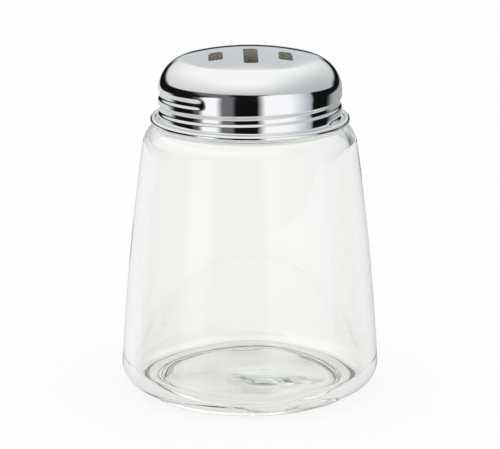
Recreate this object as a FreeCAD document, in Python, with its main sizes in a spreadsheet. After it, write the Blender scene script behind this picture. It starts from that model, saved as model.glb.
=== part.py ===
"""Restaurant spice shaker: a glass jar with a screwed, drawn metal cap.

Millimetres. The origin is the centre of the jar's foot on the table, +Z is up
and the cap's slots run along Y.
"""
import FreeCAD, Part
import os
import re
import Sketcher

doc = FreeCAD.newDocument("spice_shaker")


# The driving sizes. Each is set once here, and everything below is bound to them.
SIZES = {
    # Glass jar, outside
    "widest_radius": 36.5,
    "foot_radius": 30.6,
    "foot_ring_width": 4.2,
    "foot_edge": 1.3,
    "underside_rise": 1.6,
    "heel_curve": 6.1,
    "heel_height": 7.6,
    "heel_under_angle": 70.0,
    "heel_wall_angle": 10.7,
    "wall_bow": 0.66,
    "shoulder_radius": 30.0,
    "shoulder_height": 71.5,
    "shoulder_curve": 8.9,
    "shoulder_angle": 14.4,
    "neck_radius": 24.6,
    "neck_root_curve": 1.4,
    "neck_rise": 15.8,
    "lip_edge": 0.9,
    # Glass jar, inside
    "glass_wall": 2.6,
    "base_thickness": 6.2,
    "floor_rise": 0.8,
    "inner_heel_curve": 6.0,
    "neck_wall": 2.6,
    "mouth_root_curve": 1.6,
    # Drawn metal cap
    "cap_clearance": 0.65,
    "dome_edge_drop": 1.45,
    "skirt_clearance": 0.2,
    "crown_curve": 75.0,
    "dome_edge_curve": 9.4,
    "sheet": 0.45,
    "curl_reach": 2.25,
    "curl_section": 0.95,
    "flange_curve": 1.2,
    # Slots through the crown
    "slot_width": 4.0,
    "slot_spacing": 9.65,
    "slot_corner": 0.9,
    "long_slot": 14.2,
    "long_slot_offset": 6.8,
    "short_slot": 8.2,
    "short_slot_offset": 5.8,
    # Sealing ring between the lip and the cap
    "liner_thickness": 1.0,
    "liner_land": 3.0,
    "liner_clearance": 0.25,
    "liner_bevel": 0.6,
}

sheet = doc.addObject("Spreadsheet::Sheet", "Sizes")
for row, (alias, number) in enumerate(SIZES.items(), start=1):
    sheet.set("A%d" % row, alias.replace("_", " "))
    sheet.set("B%d" % row, str(number))
    sheet.setAlias("B%d" % row, alias)
doc.recompute()


def bound(expression):
    """Write the sheet's name before each alias in an expression."""
    return re.sub(r"[a-z_]+", lambda word: "Sizes." + word.group()
                  if word.group() in SIZES else word.group(), expression)


def number(expression):
    """The present value of an expression, to place geometry before it is constrained."""
    return float(sheet.evalExpression(bound(expression)))


def new_body(name):
    body = doc.addObject("PartDesign::Body", name)
    body.Label = name
    return body


def origin_feature(body, role):
    return next(f for f in body.Origin.OriginFeatures if f.Role == role)


def new_sketch(body, name, plane):
    sketch = body.newObject("Sketcher::SketchObject", name)
    sketch.AttachmentSupport = [(origin_feature(body, plane), "")]
    sketch.MapMode = "FlatFace"
    return sketch


def hold(sketch, kind, geometry, point, expression):
    """Hold one coordinate of a point at the value of an expression."""
    if abs(number(expression)) < 1e-9:
        axis = -2 if kind == "DistanceX" else -1
        sketch.addConstraint(Sketcher.Constraint("PointOnObject", geometry, point, axis))
        return
    index = sketch.addConstraint(
        Sketcher.Constraint(kind, -1, 1, geometry, point, number(expression)))
    sketch.setExpression("Constraints[%d]" % index, bound(expression))


def outline(sketch, steps):
    """Draw a closed outline. A step is (x, z), or (x, z, curve) for an arc to that point.

    A positive curve turns left on the way to the point, a negative one turns right.
    """
    first = sketch.GeometryCount
    corners = [FreeCAD.Vector(number(s[0]), number(s[1]), 0) for s in steps]
    for i, step in enumerate(steps):
        start, end = corners[i - 1], corners[i]
        if len(step) == 2:
            sketch.addGeometry(Part.LineSegment(start, end))
            continue
        radius = number(step[2])
        chord = end - start
        side = FreeCAD.Vector(-chord.y, chord.x, 0).normalize()
        reach = max(radius ** 2 - (chord.Length / 2) ** 2, 0) ** 0.5
        turn = 1 if radius > 0 else -1
        centre = (start + end) * 0.5 + side * (turn * reach)
        middle = centre - side * (turn * abs(radius))
        sketch.addGeometry(Part.Arc(start, middle, end))
    for i, step in enumerate(steps):
        following = (i + 1) % len(steps)
        arc = len(step) == 3
        next_arc = len(steps[following]) == 3
        # An arc is stored counter-clockwise, so one that turns right ends at its start point
        end_point = 1 if arc and number(step[2]) < 0 else 2
        next_point = 2 if next_arc and number(steps[following][2]) < 0 else 1
        sketch.addConstraint(Sketcher.Constraint(
            "Coincident", first + i, end_point, first + following, next_point))
        hold(sketch, "DistanceX", first + i, end_point, step[0])
        hold(sketch, "DistanceY", first + i, end_point, step[1])
        if arc:
            index = sketch.addConstraint(
                Sketcher.Constraint("Radius", first + i, abs(number(step[2]))))
            sketch.setExpression("Constraints[%d]" % index, bound("abs(%s)" % step[2]))


def turned(body, name, kind, steps):
    """Add or cut a full turn of an outline about the Z axis."""
    sketch = new_sketch(body, name + "_outline", "XZ_Plane")
    outline(sketch, steps)
    feature = body.newObject("PartDesign::" + kind, name)
    feature.Profile = sketch
    feature.ReferenceAxis = (sketch, ["V_Axis"])
    feature.Angle = 360
    doc.recompute()
    return feature


def round_edges(body, name, base, size, chosen):
    """Fillet the edges that the given test picks out."""
    edges = ["Edge%d" % (i + 1) for i, edge in enumerate(base.Shape.Edges) if chosen(edge)]
    fillet = body.newObject("PartDesign::Fillet", name)
    fillet.Base = (base, edges)
    fillet.setExpression("Radius", bound(size))
    doc.recompute()
    return fillet


def ring_at(radius, height):
    """A test for the circular edge of one radius at one height."""
    def test(edge):
        box = edge.BoundBox
        return (abs(box.ZMin - height) < 0.01 and abs(box.ZMax - height) < 0.01
                and abs(box.XMax - radius) < 0.05)
    return test


# Glass jar: pressed soda-lime glass, with a raised foot ring, a rounded heel,
# a wall that tapers in to the shoulder and a straight neck for the cap.
HEEL_X = "(widest_radius - heel_curve)"
SHOULDER_X = "(shoulder_radius - shoulder_curve * cos(shoulder_angle))"
SHOULDER_Z = "(shoulder_height - shoulder_curve * sin(shoulder_angle))"
HEEL_TOP_X = "(%s + heel_curve * cos(heel_wall_angle))" % HEEL_X
HEEL_TOP_Z = "(heel_height + heel_curve * sin(heel_wall_angle))"
WALL_CHORD = "sqrt((%s - shoulder_radius)^2 + (shoulder_height - %s)^2)" % (HEEL_TOP_X, HEEL_TOP_Z)
WALL_CURVE = "(%s^2 / (8 * wall_bow) + wall_bow / 2)" % WALL_CHORD

JAR_HEIGHT = "(shoulder_height + neck_rise)"

# The neck springs from the shoulder's curve through a small hollow curve
ROOT_REACH = "(shoulder_curve + neck_root_curve)"
ROOT_X = "(neck_radius + neck_root_curve)"
ROOT_Z = "(%s + sqrt(%s^2 - (%s - %s)^2))" % (SHOULDER_Z, ROOT_REACH, ROOT_X, SHOULDER_X)
ROOT_SHARE = "(shoulder_curve / %s)" % ROOT_REACH

glass_jar = new_body("glass_jar")
turned(glass_jar, "jar_outside", "Revolution", [
    ("0", "underside_rise"),
    ("foot_radius - foot_ring_width - foot_edge", "underside_rise"),
    ("foot_radius - foot_ring_width", "0"),
    ("foot_radius - foot_edge", "0"),
    ("foot_radius", "foot_edge", "foot_edge"),
    ("%s + heel_curve * cos(heel_under_angle)" % HEEL_X,
     "heel_height - heel_curve * sin(heel_under_angle)"),
    (HEEL_TOP_X, HEEL_TOP_Z, "heel_curve"),
    ("shoulder_radius", "shoulder_height", WALL_CURVE),
    ("%s + (%s - %s) * %s" % (SHOULDER_X, ROOT_X, SHOULDER_X, ROOT_SHARE),
     "%s + (%s - %s) * %s" % (SHOULDER_Z, ROOT_Z, SHOULDER_Z, ROOT_SHARE),
     "shoulder_curve"),
    ("neck_radius", ROOT_Z, "-neck_root_curve"),
    ("neck_radius", JAR_HEIGHT),
    ("0", JAR_HEIGHT),
])

# The inside follows the outside at the wall's thickness, over a heavy base
INNER_SHOULDER = "(shoulder_curve - glass_wall)"
MOUTH_RADIUS = "(neck_radius - neck_wall)"
MOUTH_REACH = "(%s + mouth_root_curve)" % INNER_SHOULDER
MOUTH_X = "(%s + mouth_root_curve)" % MOUTH_RADIUS
MOUTH_Z = "(%s + sqrt(%s^2 - (%s - %s)^2))" % (SHOULDER_Z, MOUTH_REACH, MOUTH_X, SHOULDER_X)
MOUTH_SHARE = "(%s / %s)" % (INNER_SHOULDER, MOUTH_REACH)
INNER_HEEL_X = "(%s - glass_wall)" % HEEL_TOP_X

jar_inside = turned(glass_jar, "jar_inside", "Groove", [
    ("0", "base_thickness + floor_rise"),
    ("%s - inner_heel_curve" % INNER_HEEL_X, "base_thickness"),
    (INNER_HEEL_X, "base_thickness + inner_heel_curve", "inner_heel_curve"),
    ("%s + %s * cos(shoulder_angle)" % (SHOULDER_X, INNER_SHOULDER),
     "%s + %s * sin(shoulder_angle)" % (SHOULDER_Z, INNER_SHOULDER),
     "%s - glass_wall" % WALL_CURVE),
    ("%s + (%s - %s) * %s" % (SHOULDER_X, MOUTH_X, SHOULDER_X, MOUTH_SHARE),
     "%s + (%s - %s) * %s" % (SHOULDER_Z, MOUTH_Z, SHOULDER_Z, MOUTH_SHARE),
     INNER_SHOULDER),
    (MOUTH_RADIUS, MOUTH_Z, "-mouth_root_curve"),
    (MOUTH_RADIUS, JAR_HEIGHT),
    ("0", JAR_HEIGHT),
])

# The lip is fire-polished round on both edges
outer_lip = ring_at(number("neck_radius"), number(JAR_HEIGHT))
inner_lip = ring_at(number(MOUTH_RADIUS), number(JAR_HEIGHT))
round_edges(glass_jar, "jar_lip", jar_inside, "lip_edge",
            lambda edge: outer_lip(edge) or inner_lip(edge))


# Cap: one piece of sheet, drawn into a dome with a straight skirt, with its
# bottom edge flared out and rolled into a bead. It hangs on the jar's neck.
# The dome springs from a little below the jar's lip, so the ring clears its edge.
CAP_RADIUS = "(neck_radius + cap_clearance + sheet)"
EDGE_X = "(%s - dome_edge_curve)" % CAP_RADIUS
EDGE_Z = "(%s - dome_edge_drop)" % JAR_HEIGHT
EDGE_REACH = "(crown_curve - dome_edge_curve)"
CROWN_Z = "(%s - sqrt(%s^2 - %s^2))" % (EDGE_Z, EDGE_REACH, EDGE_X)
CAP_HEIGHT = "(%s + crown_curve)" % CROWN_Z
# The crown and the dome's edge meet on the line through their two centres
BLEND_X = "(%s / %s)" % (EDGE_X, EDGE_REACH)
BLEND_Z = "((%s - %s) / %s)" % (EDGE_Z, CROWN_Z, EDGE_REACH)
INNER_SKIRT = "(%s - sheet)" % CAP_RADIUS
CURL_X = "(%s + curl_reach - curl_section)" % CAP_RADIUS
# The bead hangs just clear of the jar's shoulder, measured square to its curve
CURL_REACH = "(shoulder_curve + curl_section + skirt_clearance)"
CURL_HEIGHT = "(%s + sqrt(%s^2 - (%s - %s)^2))" % (SHOULDER_Z, CURL_REACH, CURL_X, SHOULDER_X)
FLANGE_TOP = "(%s + sheet / 2)" % CURL_HEIGHT
FLANGE_X = "(%s + flange_curve)" % CAP_RADIUS
SKIRT_FOOT = "(%s + flange_curve)" % FLANGE_TOP

screw_cap = new_body("screw_cap")
turned(screw_cap, "cap_shell", "Revolution", [
    ("0", "%s - sheet" % CAP_HEIGHT, "crown_curve - sheet"),
    ("0", CAP_HEIGHT),
    ("crown_curve * %s" % BLEND_X, "%s + crown_curve * %s" % (CROWN_Z, BLEND_Z), "-crown_curve"),
    (CAP_RADIUS, EDGE_Z, "-dome_edge_curve"),
    (CAP_RADIUS, SKIRT_FOOT),
    (FLANGE_X, FLANGE_TOP, "flange_curve"),
    (CURL_X, FLANGE_TOP),
    (CURL_X, "%s - sheet" % FLANGE_TOP),
    (FLANGE_X, "%s - sheet" % FLANGE_TOP),
    (INNER_SKIRT, SKIRT_FOOT, "-(flange_curve + sheet)"),
    (INNER_SKIRT, EDGE_Z),
    ("(crown_curve - sheet) * %s" % BLEND_X,
     "%s + (crown_curve - sheet) * %s" % (CROWN_Z, BLEND_Z),
     "dome_edge_curve - sheet"),
])

# The flange ends in a tight rolled bead
curl_sketch = new_sketch(screw_cap, "curl_outline", "XZ_Plane")
curl_centre = FreeCAD.Vector(number(CURL_X), number(CURL_HEIGHT), 0)
curl_sketch.addGeometry(
    Part.Circle(curl_centre, FreeCAD.Vector(0, 0, 1), number("curl_section")))
hold(curl_sketch, "DistanceX", 0, 3, CURL_X)
hold(curl_sketch, "DistanceY", 0, 3, CURL_HEIGHT)
curl_radius = curl_sketch.addConstraint(
    Sketcher.Constraint("Radius", 0, number("curl_section")))
curl_sketch.setExpression("Constraints[%d]" % curl_radius, bound("curl_section"))
curl = screw_cap.newObject("PartDesign::Revolution", "cap_curl")
curl.Profile = curl_sketch
curl.ReferenceAxis = (curl_sketch, ["V_Axis"])
curl.Angle = 360
doc.recompute()

# Three slots side by side through the front half of the crown: a long one
# between two short ones
slot_sketch = new_sketch(screw_cap, "slot_outlines", "XY_Plane")
for middle, length in (("-slot_spacing", "short_slot"),
                       ("0", "long_slot"),
                       ("slot_spacing", "short_slot")):
    left = "%s - slot_width / 2" % middle
    right = "%s + slot_width / 2" % middle
    front = "-%s_offset - %s / 2" % (length, length)
    back = "-%s_offset + %s / 2" % (length, length)
    outline(slot_sketch, [
        (left + " + slot_corner", front, "slot_corner"),
        (right + " - slot_corner", front),
        (right, front + " + slot_corner", "slot_corner"),
        (right, back + " - slot_corner"),
        (right + " - slot_corner", back, "slot_corner"),
        (left + " + slot_corner", back),
        (left, back + " - slot_corner", "slot_corner"),
        (left, front + " + slot_corner"),
    ])
slots = screw_cap.newObject("PartDesign::Pocket", "cap_slots")
slots.Profile = slot_sketch
slots.Type = "ThroughAll"
slots.Midplane = True
doc.recompute()
if slots.Shape.Volume >= curl.Shape.Volume:
    raise RuntimeError("the slots cut nothing")


# Sealing ring: a flat ring that lies on the jar's lip, held by its outer edge
# where the cap's skirt turns into the dome.
LINER_OUTER = "(%s - liner_clearance)" % INNER_SKIRT
LINER_INNER = "(neck_radius - liner_land)"
LINER_TOP = "(%s + liner_thickness)" % JAR_HEIGHT

cap_liner = new_body("cap_liner")
turned(cap_liner, "liner_ring", "Revolution", [
    (LINER_INNER, JAR_HEIGHT),
    (LINER_OUTER, JAR_HEIGHT),
    (LINER_OUTER, "%s - liner_bevel" % LINER_TOP),
    ("%s - liner_bevel" % LINER_OUTER, LINER_TOP),
    (LINER_INNER, LINER_TOP),
])


doc.recompute()
PIECES = [glass_jar, screw_cap, cap_liner]
for item in doc.Objects:
    if "Invalid" in item.State or "Error" in item.State:
        raise RuntimeError("%s failed: %s" % (item.Name, item.State))
for piece in PIECES:
    if piece.Shape.isNull() or not piece.Shape.isValid():
        raise RuntimeError("%s has no valid shape" % piece.Label)

os.makedirs("parts", exist_ok=True)
for piece in PIECES:
    piece.Shape.exportStep("parts/%s.step" % piece.Label)
    size = piece.Shape.BoundBox
    print("%s: %.2f x %.2f x %.2f mm, z %.2f to %.2f, volume %.0f mm3, %d solid"
          % (piece.Label, size.XLength, size.YLength, size.ZLength,
             size.ZMin, size.ZMax, piece.Shape.Volume, len(piece.Shape.Solids)))
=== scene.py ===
import bpy
from math import acos, asin, cos, exp, pi, radians, sin, sqrt
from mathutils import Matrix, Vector, noise


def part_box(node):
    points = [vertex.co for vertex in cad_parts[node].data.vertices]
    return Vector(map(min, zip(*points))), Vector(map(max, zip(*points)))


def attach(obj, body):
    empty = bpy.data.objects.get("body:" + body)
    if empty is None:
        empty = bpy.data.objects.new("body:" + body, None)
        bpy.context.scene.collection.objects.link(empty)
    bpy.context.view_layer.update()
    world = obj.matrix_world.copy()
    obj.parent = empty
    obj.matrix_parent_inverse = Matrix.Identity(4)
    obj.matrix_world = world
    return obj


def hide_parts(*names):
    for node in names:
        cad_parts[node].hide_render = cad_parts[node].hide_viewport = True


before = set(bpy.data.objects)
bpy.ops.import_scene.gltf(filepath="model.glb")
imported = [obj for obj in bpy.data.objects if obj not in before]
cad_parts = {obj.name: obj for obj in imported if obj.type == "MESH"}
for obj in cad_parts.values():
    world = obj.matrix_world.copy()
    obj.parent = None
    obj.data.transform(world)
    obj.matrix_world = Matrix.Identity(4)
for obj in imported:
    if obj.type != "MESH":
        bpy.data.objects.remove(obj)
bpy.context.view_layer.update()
mm = 0.001


# Glass jar: one pressed piece of clear soda-lime glass, with a foot ring, a
# rounded heel, a wall that tapers up to the shoulder, and a straight neck with
# a raised thread. The lip is fire-polished. Inside, the floor is thick and wavy.
jar_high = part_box("glass_jar")[1]
widest_radius = jar_high.x
jar_height = jar_high.z
foot_radius = 30.6 * mm
foot_ring_width = 4.2 * mm
foot_edge = 1.3 * mm
underside_rise = 1.6 * mm
heel_curve = 6.1 * mm
heel_height = 7.6 * mm
heel_under_angle = radians(70)
heel_wall_angle = radians(10.7)
wall_bow = 0.66 * mm
shoulder_radius = 30.0 * mm
shoulder_height = 71.5 * mm
shoulder_curve = 8.9 * mm
shoulder_angle = radians(14.4)
neck_radius = 24.6 * mm
neck_root_curve = 1.4 * mm
neck_wall = 2.6 * mm
glass_wall = 2.6 * mm
base_thickness = 3.2 * mm
floor_rise = 1.4 * mm
inner_heel_curve = 5.0 * mm
mouth_root_curve = 1.6 * mm
lip_edge = 0.9 * mm
turn_steps = 192
edge_steps = 8
root_steps = 6
heel_steps = 24
inner_heel_steps = 16
wall_steps = 28
shoulder_steps = 14
thread_step = 0.17 * mm


def arc(centre_r, centre_z, radius, start, end, steps):
    """Points of an arc in the outline plane, as (r, z), angles from the +r direction."""
    angles = [start + (end - start) * i / steps for i in range(steps + 1)]
    return [(centre_r + radius * cos(a), centre_z + radius * sin(a)) for a in angles]


def bowed(start, end, bow, steps):
    """Points from start to end, standing out to the +r side by the bow halfway."""
    points = []
    for i in range(steps + 1):
        t = i / steps
        r = start[0] + (end[0] - start[0]) * t + 4 * bow * t * (1 - t)
        points.append((r, start[1] + (end[1] - start[1]) * t))
    return points


def straight(start, end, step):
    """Points from start to end no further apart than step."""
    length = sqrt((end[0] - start[0]) ** 2 + (end[1] - start[1]) ** 2)
    count = max(1, round(length / step))
    return [(start[0] + (end[0] - start[0]) * i / count,
             start[1] + (end[1] - start[1]) * i / count) for i in range(count + 1)]


def turned_piece(name, outline):
    """Extrude an outline point by point, spin it round the Z axis and close it."""
    bpy.ops.object.select_all(action="DESELECT")
    bpy.ops.mesh.primitive_plane_add(size=mm)
    piece = bpy.context.object
    piece.name = name
    bpy.ops.object.mode_set(mode="EDIT")
    bpy.ops.mesh.select_all(action="SELECT")
    bpy.ops.mesh.merge(type="CENTER")
    last = Vector((outline[0][0], 0, outline[0][1]))
    bpy.ops.transform.translate(value=last)
    for r, z in outline[1:]:
        point = Vector((r, 0, z))
        if (point - last).length > 1e-7:
            bpy.ops.mesh.extrude_region_move(TRANSFORM_OT_translate={"value": point - last})
            last = point
    bpy.ops.mesh.select_all(action="SELECT")
    bpy.ops.mesh.spin(steps=turn_steps, angle=2 * pi, center=(0, 0, 0), axis=(0, 0, 1))
    bpy.ops.mesh.select_all(action="SELECT")
    bpy.ops.mesh.remove_doubles(threshold=2e-6)
    bpy.ops.mesh.normals_make_consistent(inside=False)
    bpy.ops.object.mode_set(mode="OBJECT")
    bpy.ops.object.shade_smooth()
    return piece


heel_r = widest_radius - heel_curve
shoulder_r = shoulder_radius - shoulder_curve * cos(shoulder_angle)
shoulder_z = shoulder_height - shoulder_curve * sin(shoulder_angle)
heel_top = (heel_r + heel_curve * cos(heel_wall_angle), heel_height + heel_curve * sin(heel_wall_angle))

# The neck's hollow root curve touches the shoulder's curve from outside
root_r = neck_radius + neck_root_curve
root_reach = shoulder_curve + neck_root_curve
root_z = shoulder_z + sqrt(root_reach ** 2 - (root_r - shoulder_r) ** 2)
root_angle = asin((root_z - shoulder_z) / root_reach)

inner_shoulder = shoulder_curve - glass_wall
mouth_radius = neck_radius - neck_wall
mouth_r = mouth_radius + mouth_root_curve
mouth_reach = inner_shoulder + mouth_root_curve
mouth_z = shoulder_z + sqrt(mouth_reach ** 2 - (mouth_r - shoulder_r) ** 2)
mouth_angle = asin((mouth_z - shoulder_z) / mouth_reach)
inner_top = (shoulder_r + inner_shoulder * cos(shoulder_angle),
             shoulder_z + inner_shoulder * sin(shoulder_angle))
inner_heel_r = heel_top[0] - glass_wall - inner_heel_curve

jar_outline = (
    straight((0, underside_rise),
             (foot_radius - foot_ring_width - foot_edge, underside_rise), 3 * mm)
    + straight((foot_radius - foot_ring_width - foot_edge, underside_rise),
               (foot_radius - foot_ring_width, 0), 0.7 * mm)
    + straight((foot_radius - foot_ring_width, 0), (foot_radius - foot_edge, 0), 0.8 * mm)
    + arc(foot_radius - foot_edge, foot_edge, foot_edge, -pi / 2, 0, edge_steps)
    + arc(heel_r, heel_height, heel_curve, -heel_under_angle, heel_wall_angle, heel_steps)
    + bowed(heel_top, (shoulder_radius, shoulder_height), wall_bow, wall_steps)
    + arc(shoulder_r, shoulder_z, shoulder_curve, shoulder_angle, root_angle, shoulder_steps)
    + arc(root_r, root_z, neck_root_curve, root_angle + pi, pi, root_steps)
    + straight((neck_radius, root_z), (neck_radius, jar_height - lip_edge), thread_step)
    + arc(neck_radius - lip_edge, jar_height - lip_edge, lip_edge, 0, pi / 2, edge_steps)
    + arc(mouth_radius + lip_edge, jar_height - lip_edge, lip_edge, pi / 2, pi, edge_steps)
    + straight((mouth_radius, jar_height - lip_edge), (mouth_radius, mouth_z), 1.5 * mm)
    + arc(mouth_r, mouth_z, mouth_root_curve, pi, mouth_angle + pi, edge_steps)
    + arc(shoulder_r, shoulder_z, inner_shoulder, mouth_angle, shoulder_angle, shoulder_steps)
    + bowed(inner_top, (heel_top[0] - glass_wall, base_thickness + inner_heel_curve),
            wall_bow, wall_steps)
    + arc(inner_heel_r, base_thickness + inner_heel_curve, inner_heel_curve,
          0, -pi / 2, inner_heel_steps)
    + straight((inner_heel_r, base_thickness), (0, base_thickness + floor_rise), 1.2 * mm)
)
jar = turned_piece("jar", jar_outline)

# One thread turns round cap and neck. The cap's groove starts low on the front
# right and climbs round to its end on the front left, where the photo shows it
pitch = 25.4 / 6 * mm
groove_start = radians(-35)
groove_end = radians(600)
groove_middle_height = 83.0 * mm
groove_fade = radians(6)


def groove_height(angle):
    """Height of the groove's middle at an angle counted from the right-hand side."""
    return groove_middle_height + pitch * (angle - 2 * pi) / (2 * pi)


def along_thread(point, start, end, fade):
    """For each turn that passes a point: its angle, and its share where the thread fades."""
    angle = Vector((1, 0)).angle_signed(Vector((point.x, point.y)), 0)
    turns = []
    for turn in range(-1, 3):
        total = -angle + 2 * pi * turn
        inside = min(total - start, end - total)
        if inside > 0:
            turns.append((total, min(1.0, inside / fade)))
    return turns


# The thread on the neck stands halfway between two turns of the cap's groove
neck_thread_depth = 0.68 * mm
neck_thread_half = 1.05 * mm
neck_thread_start = radians(-15)
neck_thread_end = radians(400)
neck_thread_fade = radians(16)
neck_foot = root_z + 0.2 * mm
neck_top = jar_height - lip_edge
for vertex in jar.data.vertices:
    reach = sqrt(vertex.co.x ** 2 + vertex.co.y ** 2)
    if abs(reach - neck_radius) > 0.01 * mm or not neck_foot < vertex.co.z < neck_top:
        continue
    bulge = 0.0
    for total, share in along_thread(vertex.co, neck_thread_start, neck_thread_end, neck_thread_fade):
        off = abs(vertex.co.z - groove_height(total) - pitch / 2) / neck_thread_half
        if off < 1:
            bulge += neck_thread_depth * share * (0.5 + 0.5 * cos(pi * off)) ** 0.7
    vertex.co.x *= (reach + bulge) / reach
    vertex.co.y *= (reach + bulge) / reach

# Pressed glass is never quite even: the inner face waves, most of all on the floor
wave_size = 17 * mm
wall_wave = 0.10 * mm
floor_wave = 0.9 * mm
floor_low = base_thickness - 0.1 * mm
floor_high = base_thickness + 2 * mm
floor_edge = inner_heel_r + 3 * mm
wall_taper = (heel_top[0] - shoulder_radius) / (shoulder_height - heel_top[1])
for vertex in jar.data.vertices:
    reach = sqrt(vertex.co.x ** 2 + vertex.co.y ** 2)
    within_wall = shoulder_radius + wall_taper * (shoulder_height - vertex.co.z) - glass_wall * 0.4
    sway = noise.noise(vertex.co / wave_size)
    if floor_low < vertex.co.z < floor_high and reach < floor_edge:
        vertex.co.z += floor_wave * sway
    elif base_thickness < vertex.co.z < shoulder_height and reach < within_wall:
        vertex.co.x += wall_wave * sway * vertex.co.x / max(reach, mm)
        vertex.co.y += wall_wave * sway * vertex.co.y / max(reach, mm)


def new_material(name):
    """A node material, with its tree and its main shader."""
    material = bpy.data.materials.new(name)
    material.use_nodes = True
    return material, material.node_tree, material.node_tree.nodes["Principled BSDF"]


def add_noise(tree, scale, detail, roughness=0.5):
    """A noise texture on the object's own coordinates."""
    place = tree.nodes.new("ShaderNodeTexCoord")
    texture = tree.nodes.new("ShaderNodeTexNoise")
    texture.inputs["Scale"].default_value = scale
    texture.inputs["Detail"].default_value = detail
    texture.inputs["Roughness"].default_value = roughness
    tree.links.new(place.outputs["Object"], texture.inputs["Vector"])
    return texture


def add_bump(tree, shader, texture, strength, distance):
    """Lead a texture to the shader's normal as a bump."""
    bump = tree.nodes.new("ShaderNodeBump")
    bump.inputs["Strength"].default_value = strength
    bump.inputs["Distance"].default_value = distance
    tree.links.new(texture.outputs["Fac"], bump.inputs["Height"])
    tree.links.new(bump.outputs["Normal"], shader.inputs["Normal"])


# Clear glass, with a slight tint that shows where it is thick
glass, tree, shader = new_material("clear_soda_lime_glass")
shader.inputs["Base Color"].default_value = (0.985, 0.985, 0.98, 1)
shader.inputs["Roughness"].default_value = 0.0
shader.inputs["IOR"].default_value = 1.52
shader.inputs["Transmission Weight"].default_value = 1.0
add_bump(tree, shader, add_noise(tree, 60, 1.5), 0.12, 0.2 * mm)
tint = tree.nodes.new("ShaderNodeVolumeAbsorption")
tint.inputs["Color"].default_value = (0.74, 0.78, 0.73, 1)
tint.inputs["Density"].default_value = 22.0
tree.links.new(tint.outputs["Volume"], tree.nodes["Material Output"].inputs["Volume"])
jar.data.materials.append(glass)
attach(jar, "jar")
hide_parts("glass_jar")


# Sealing ring: a flat ring of soft white plastic that lies on the jar's lip and
# rises with the cap.
liner, tree, shader = new_material("white_liner_plastic")
colour = tree.nodes.new("ShaderNodeValToRGB")
colour.color_ramp.elements[0].color = (0.68, 0.67, 0.62, 1)
colour.color_ramp.elements[1].color = (0.78, 0.77, 0.73, 1)
grain = add_noise(tree, 900, 3)
tree.links.new(grain.outputs["Fac"], colour.inputs["Fac"])
tree.links.new(colour.outputs["Color"], shader.inputs["Base Color"])
shader.inputs["Roughness"].default_value = 0.55
add_bump(tree, shader, grain, 0.2, 0.05 * mm)
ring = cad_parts["cap_liner"]
ring.data.materials.clear()
ring.data.materials.append(liner)


# Cap: one piece of sheet steel, drawn to a dome with a straight skirt, rolled
# with a thread groove, flanged at the bottom and curled into a bead. The
# outside is bright chrome, the inside is left plain. Slots are punched in the crown.
cap_low, cap_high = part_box("screw_cap")
cap_height = cap_high.z
cap_clearance = 0.65 * mm
sheet = 0.45 * mm
crown_curve = 75.0 * mm
dome_edge_curve = 9.4 * mm
curl_section = 0.95 * mm
flange_curve = 0.4 * mm
cap_radius = neck_radius + cap_clearance + sheet
curl_r = cap_high.x - curl_section
curl_z = cap_low.z + curl_section
edge_r = cap_radius - dome_edge_curve
edge_reach = crown_curve - dome_edge_curve
crown_z = cap_height - crown_curve
edge_z = crown_z + sqrt(edge_reach ** 2 - edge_r ** 2)
blend_angle = acos(edge_r / edge_reach)
flange_top = curl_z + sheet / 2
skirt_foot = flange_top + flange_curve
flange_r = cap_radius + flange_curve
inner_skirt = cap_radius - sheet
inside_of_curl = asin((sheet / 2) / curl_section)
crown_steps = 12
dome_steps = 24
curl_steps = 28

cap_outline = (
    arc(0, crown_z, crown_curve, pi / 2, blend_angle, crown_steps)
    + arc(edge_r, edge_z, dome_edge_curve, blend_angle, 0, dome_steps)
    + straight((cap_radius, edge_z), (cap_radius, skirt_foot), thread_step)
    + arc(flange_r, skirt_foot, flange_curve, pi, pi * 1.5, edge_steps)
    + arc(curl_r, curl_z, curl_section, pi - inside_of_curl, inside_of_curl - pi, curl_steps)
    + arc(flange_r, skirt_foot, flange_curve + sheet, pi * 1.5, pi, edge_steps)
    + straight((inner_skirt, skirt_foot), (inner_skirt, edge_z), thread_step)
    + arc(edge_r, edge_z, dome_edge_curve - sheet, 0, blend_angle, dome_steps)
    + arc(0, crown_z, crown_curve - sheet, blend_angle, pi / 2, crown_steps)
)
cap = turned_piece("cap", cap_outline)

# Rolling presses the groove in, with a short rounded run-out at either end
groove_depth = 0.55 * mm
groove_half = 1.12 * mm
groove_room = 1.2 * mm
groove_top = edge_z + 1.5 * mm + pitch
hem_height = 0.8 * mm
for vertex in cap.data.vertices:
    reach = sqrt(vertex.co.x ** 2 + vertex.co.y ** 2)
    on_skirt = inner_skirt - groove_room < reach < cap_radius + 0.05 * mm
    if not on_skirt or not skirt_foot < vertex.co.z < groove_top:
        continue
    shift = 0.0
    for total, share in along_thread(vertex.co, groove_start, groove_end, groove_fade):
        off = vertex.co.z - groove_height(total)
        shift -= groove_depth * share * exp(-(off / groove_half) ** 4)
    hem = min(1.0, (vertex.co.z - skirt_foot) / hem_height)
    vertex.co.x *= (reach + shift * hem) / reach
    vertex.co.y *= (reach + shift * hem) / reach

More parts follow.
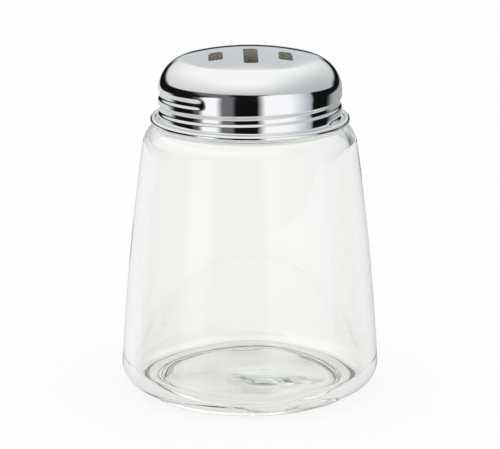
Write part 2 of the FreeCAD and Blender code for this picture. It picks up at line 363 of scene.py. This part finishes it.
# The slots: a long one between two short ones, cut with a punch each
slot_width = 4.0 * mm
slot_corner = 0.9 * mm
slot_spacing = 9.65 * mm
middle_slot_length = 14.2 * mm
middle_slot_offset = 6.8 * mm
side_slot_length = 8.2 * mm
side_slot_offset = 5.8 * mm
punch_height = 12 * mm
slots = [(-slot_spacing, side_slot_length, side_slot_offset),
         (0, middle_slot_length, middle_slot_offset),
         (slot_spacing, side_slot_length, side_slot_offset)]
for middle, length, offset in slots:
    bpy.ops.object.select_all(action="DESELECT")
    bpy.ops.mesh.primitive_cube_add(size=1, location=(middle, -offset, cap_height))
    punch = bpy.context.object
    punch.scale = (slot_width, length, punch_height)
    bpy.ops.object.transform_apply(location=True, rotation=False, scale=True)
    bpy.ops.object.mode_set(mode="EDIT")
    bpy.ops.mesh.select_all(action="DESELECT")
    bpy.ops.object.mode_set(mode="OBJECT")
    for edge in punch.data.edges:
        a, b = (punch.data.vertices[i].co for i in edge.vertices)
        edge.select = abs(a.z - b.z) > mm
    bpy.ops.object.mode_set(mode="EDIT")
    bpy.ops.mesh.select_mode(type="EDGE")
    bpy.ops.mesh.bevel(offset=slot_corner, segments=6)
    bpy.ops.object.mode_set(mode="OBJECT")
    bpy.ops.object.select_all(action="DESELECT")
    cap.select_set(True)
    bpy.context.view_layer.objects.active = cap
    cut = cap.modifiers.new("slot", "BOOLEAN")
    cut.operation = "DIFFERENCE"
    cut.solver = "EXACT"
    cut.object = punch
    bpy.ops.object.modifier_apply(modifier=cut.name)
    bpy.data.objects.remove(punch)

# Chrome, polished bright, with wear that dulls it a little in places
chrome, tree, shader = new_material("bright_chrome")
shader.inputs["Base Color"].default_value = (0.88, 0.885, 0.89, 1)
shader.inputs["Metallic"].default_value = 1.0
wear = add_noise(tree, 260, 4)
gloss = tree.nodes.new("ShaderNodeMapRange")
gloss.inputs["From Min"].default_value = 0.35
gloss.inputs["From Max"].default_value = 0.75
gloss.inputs["To Min"].default_value = 0.035
gloss.inputs["To Max"].default_value = 0.075
tree.links.new(wear.outputs["Fac"], gloss.inputs["Value"])
tree.links.new(gloss.outputs["Result"], shader.inputs["Roughness"])
add_bump(tree, shader, add_noise(tree, 120, 2), 0.05, 0.1 * mm)


def rise(tree, value, low, high):
    """A node that gives 0 where a value is low or under, and 1 where it is high or over."""
    span = tree.nodes.new("ShaderNodeMapRange")
    span.inputs["From Min"].default_value = low
    span.inputs["From Max"].default_value = high
    tree.links.new(value, span.inputs["Value"])
    return span


def mix_tones(tree, below, above, share):
    """Mix two tones, each a colour or an output. At a share of 1 only the one above is left."""
    mix = tree.nodes.new("ShaderNodeMix")
    mix.data_type = "RGBA"
    tree.links.new(share, mix.inputs["Factor"])
    for name, tone in (("A", below), ("B", above)):
        if isinstance(tone, tuple):
            mix.inputs[name].default_value = (*tone, 1)
        else:
            tree.links.new(tone, mix.inputs[name])
    return mix.outputs["Result"]


# The sheet is dull inside. Low in the skirt its colour is painted dark, a painted shade for the shadow
# inside the cap
bare, tree, shader = new_material("plain_sheet_inside")
shader.inputs["Roughness"].default_value = 0.7
colour = tree.nodes.new("ShaderNodeValToRGB")
colour.color_ramp.elements[0].color = (0.70, 0.67, 0.62, 1)
colour.color_ramp.elements[1].color = (0.76, 0.73, 0.68, 1)
tree.links.new(add_noise(tree, 180, 3).outputs["Fac"], colour.inputs["Fac"])
place = tree.nodes.new("ShaderNodeTexCoord")
level = tree.nodes.new("ShaderNodeSeparateXYZ")
tree.links.new(place.outputs["Object"], level.inputs["Vector"])
# Painted shade: below 83 mm the colour darkens, and it is near black from 79 mm down
above_painted_shade = rise(tree, level.outputs["Z"], 79 * mm, 83 * mm).outputs["Result"]
inside_with_painted_shade = mix_tones(tree, (0.10, 0.105, 0.09), colour.outputs["Color"], above_painted_shade)
tree.links.new(inside_with_painted_shade, shader.inputs["Base Color"])

cap.data.materials.clear()
cap.data.materials.append(chrome)
cap.data.materials.append(bare)
for face in cap.data.polygons:
    outward = Vector((face.center.x, face.center.y, max(0, face.center.z - edge_z)))
    facing_in = face.normal.dot(outward.normalized()) < -0.3
    behind_skirt = sqrt(face.center.x ** 2 + face.center.y ** 2) < inner_skirt + 0.1 * mm
    face.material_index = 1 if facing_in and behind_skirt else 0
cap.select_set(True)
bpy.context.view_layer.objects.active = cap
bpy.ops.object.shade_smooth_by_angle(angle=radians(35))
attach(cap, "cap")
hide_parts("screw_cap")


# Studio: a pale floor and white surroundings. Metal and glass mirror a room with
# a soft box on either side of the lens, a pale ceiling, and black between them.
bpy.ops.object.select_all(action="DESELECT")
bpy.ops.mesh.primitive_plane_add(size=6)
floor = bpy.context.object
floor.name = "floor"
floor.visible_glossy = False
paper = bpy.data.materials.new("floor_paper")
paper.use_nodes = True
tree = paper.node_tree
tree.nodes.clear()
matt = tree.nodes.new("ShaderNodeBsdfDiffuse")
matt.inputs["Color"].default_value = (0.95, 0.95, 0.95, 1)
glow = tree.nodes.new("ShaderNodeEmission")
rays = tree.nodes.new("ShaderNodeLightPath")
seen = tree.nodes.new("ShaderNodeMath")
seen.operation = "MAXIMUM"
tree.links.new(rays.outputs["Is Camera Ray"], seen.inputs[0])
tree.links.new(rays.outputs["Is Transmission Ray"], seen.inputs[1])
share = tree.nodes.new("ShaderNodeMath")
share.operation = "MULTIPLY"
share.inputs[1].default_value = 0.88
tree.links.new(seen.outputs[0], share.inputs[0])

# Through the glass, the paper right under the foot gets a painted shade, darker than the paper round it
spot = tree.nodes.new("ShaderNodeTexCoord")
distance = tree.nodes.new("ShaderNodeVectorMath")
distance.operation = "LENGTH"
tree.links.new(spot.outputs["Object"], distance.inputs[0])
outside_foot = rise(tree, distance.outputs["Value"], 30 * mm, 42 * mm).outputs["Result"]
shade = mix_tones(tree, (0.80, 0.81, 0.785), (1, 1, 1), outside_foot)
tone = mix_tones(tree, (1, 1, 1), shade, rays.outputs["Is Transmission Ray"])
tree.links.new(tone, glow.inputs["Color"])
blend = tree.nodes.new("ShaderNodeMixShader")
tree.links.new(share.outputs[0], blend.inputs["Fac"])
tree.links.new(matt.outputs["BSDF"], blend.inputs[1])
tree.links.new(glow.outputs["Emission"], blend.inputs[2])
ground = tree.nodes.new("ShaderNodeOutputMaterial")
tree.links.new(blend.outputs["Shader"], ground.inputs["Surface"])
floor.data.materials.append(paper)

world = bpy.data.worlds.new("studio")
bpy.context.scene.world = world
world.use_nodes = True
tree = world.node_tree
tree.nodes.clear()
sight = tree.nodes.new("ShaderNodeTexCoord")


def toward(direction, low, high):
    """How far a line of sight points in a direction: 0 at low and under, 1 at high and over."""
    dot = tree.nodes.new("ShaderNodeVectorMath")
    dot.operation = "DOT_PRODUCT"
    dot.inputs[1].default_value = direction
    tree.links.new(sight.outputs["Generated"], dot.inputs[0])
    span = rise(tree, dot.outputs["Value"], low, high)
    span.interpolation_type = "SMOOTHSTEP"
    return span.outputs["Result"]


def where_all(*masks):
    """The product of some masks."""
    product = masks[0]
    for mask in masks[1:]:
        times = tree.nodes.new("ShaderNodeMath")
        times.operation = "MULTIPLY"
        tree.links.new(product, times.inputs[0])
        tree.links.new(mask, times.inputs[1])
        product = times.outputs[0]
    return product


def lay_over(below, tone, mask):
    """Lay a tone, or another picture of the room, over the room where a mask lets it."""
    return mix_tones(tree, below, tone, mask)


def tone_ramp(factor, stops):
    """A colour ramp through (position, tone) stops."""
    ramp = tree.nodes.new("ShaderNodeValToRGB")
    tree.links.new(factor, ramp.inputs["Fac"])
    while len(ramp.color_ramp.elements) < len(stops):
        ramp.color_ramp.elements.new(0.5)
    # Colours come after all positions, because elements can change places as they move
    for element, (position, tone) in zip(ramp.color_ramp.elements, stops):
        element.position = position
    for element, (position, tone) in zip(ramp.color_ramp.elements, stops):
        element.color = (*tone, 1)
    return ramp.outputs["Color"]


# What stands round the object, by bearing in degrees from the lens to the right:
# a wide soft box on the right, a narrow one on the left, and black between them
DARK = (0.006, 0.006, 0.007)
DIM = (0.15, 0.155, 0.165)
SOFT = (0.42, 0.45, 0.50)
BOX = (1.05, 1.05, 1.06)
TABLE = (0.72, 0.73, 0.71)
bearings = [(-90, DARK), (-79, DARK), (-68, DIM), (-61, BOX), (-44, BOX), (-36, DIM), (-24, DIM),
            (-19, DARK), (8, DARK), (18, BOX), (50, BOX), (80, SOFT), (84, DARK)]
round_the_room = tree.nodes.new("ShaderNodeTexGradient")
round_the_room.gradient_type = "RADIAL"
tree.links.new(sight.outputs["Generated"], round_the_room.inputs["Vector"])
room = tone_ramp(round_the_room.outputs["Fac"],
                 [(0.25 + bearing / 360, tone) for bearing, tone in bearings])

# The table is pale well below the horizon, and all its far half
room = lay_over(room, TABLE, toward((0, 0, -1), 0.30, 0.42))
far_half = tone_ramp(toward((1, 0, 0), -0.5, 0.5), [(0.0, (0.72, 0.74, 0.74)), (1.0, (0.40, 0.42, 0.42))])
room = lay_over(room, far_half, where_all(toward((0, 0, -1), 0.03, 0.09), toward((0, 1, 0), 0.3, 0.6)))

# Overhead hangs a pale ceiling that comes lower at the back. It is dimmer near its
# front edge and at the sides, with a dark gap below that edge
room = lay_over(room, DARK, toward((-0.14, 0.27, 1), 0.19, 0.22))
room = lay_over(room, DIM, where_all(toward((0, 0, 1), 0.24, 0.33), toward((-1, 0, 0), 0.3, 0.5),
                                     toward((0, -1, 0), 0.1, 0.4)))
ceiling = tone_ramp(toward((-0.04, 0.27, 1), 0.2, 1.05), [
    (0.0, (0.58, 0.59, 0.59)), (0.03, (0.62, 0.63, 0.63)), (0.31, (0.80, 0.81, 0.80)),
    (0.68, (0.94, 0.95, 0.93)), (0.91, (1.03, 1.03, 1.02))])
ceiling = lay_over(ceiling, (0.50, 0.52, 0.54), toward((1, 0, 0), 0.1, 1.15))
ceiling = lay_over(ceiling, (0.74, 0.75, 0.75), toward((-1, 0, 0), 0.4, 1.4))
room = lay_over(room, ceiling, toward((0.04, 0.27, 1), 0.279, 0.297))

# Behind the object, a dark line runs along the horizon, with a grey screen above it
room = lay_over(room, DARK, where_all(toward((0, 1, 0), 0.5, 0.7), toward((0, 0, 1), -0.06, -0.02),
                                      toward((0, 0, -1), -0.22, -0.10)))
room = lay_over(room, (0.63, 0.66, 0.68), where_all(
    toward((0, 1, 0), 0.70, 0.84), toward((0, 0, 1), 0.02, 0.08),
    toward((1, 0, 0), -0.22, -0.13), toward((-1, 0, 0), -0.22, -0.13)))

# Metal and glass mirror the room. Through glass the surroundings are a light grey,
# bright overhead, with a dim panel on the right. All else sees plain white
rays = tree.nodes.new("ShaderNodeLightPath")
through = rays.outputs["Is Transmission Ray"]
outlook = lay_over(room, (0.76, 0.77, 0.75), through)
outlook = lay_over(outlook, (1.6, 1.6, 1.6), where_all(toward((0, 0.3, 1), 0.5, 0.75), through))
outlook = lay_over(outlook, (0.20, 0.25, 0.22), where_all(toward((1, 0, 0), 0.3, 0.6), through))
reflected = tree.nodes.new("ShaderNodeBackground")
tree.links.new(outlook, reflected.inputs["Color"])
plain = tree.nodes.new("ShaderNodeBackground")
plain.inputs["Color"].default_value = (1, 1, 1, 1)
shown = tree.nodes.new("ShaderNodeMixShader")
tree.links.new(rays.outputs["Is Glossy Ray"], shown.inputs["Fac"])
tree.links.new(plain.outputs["Background"], shown.inputs[1])
tree.links.new(reflected.outputs["Background"], shown.inputs[2])
sky = tree.nodes.new("ShaderNodeOutputWorld")
tree.links.new(shown.outputs["Shader"], sky.inputs["Surface"])


# Camera: a long lens in front of the object that looks down on it a little, at the
# distance and angle of the photo.
view_distance = 0.7
view_elevation = radians(14.6)
view_height = 46.94 * mm
view_turn = radians(-1.4)
bpy.ops.object.select_all(action="DESELECT")
view_reach = view_distance * cos(view_elevation)
bpy.ops.object.camera_add(
    location=(-view_reach * sin(-view_turn), -view_reach * cos(view_turn),
              view_height + view_distance * sin(view_elevation)),
    rotation=(pi / 2 - view_elevation, 0, view_turn))
camera = bpy.context.object
camera.data.sensor_width = 36
camera.data.lens = 178.35
camera.data.clip_start = 0.01
bpy.context.scene.camera = camera
bpy.context.scene.view_settings.view_transform = "Standard"

# Light runs far inside the thick glass base before it comes out again
bpy.context.scene.cycles.max_bounces = 32
bpy.context.scene.cycles.glossy_bounces = 24
bpy.context.scene.cycles.transmission_bounces = 32
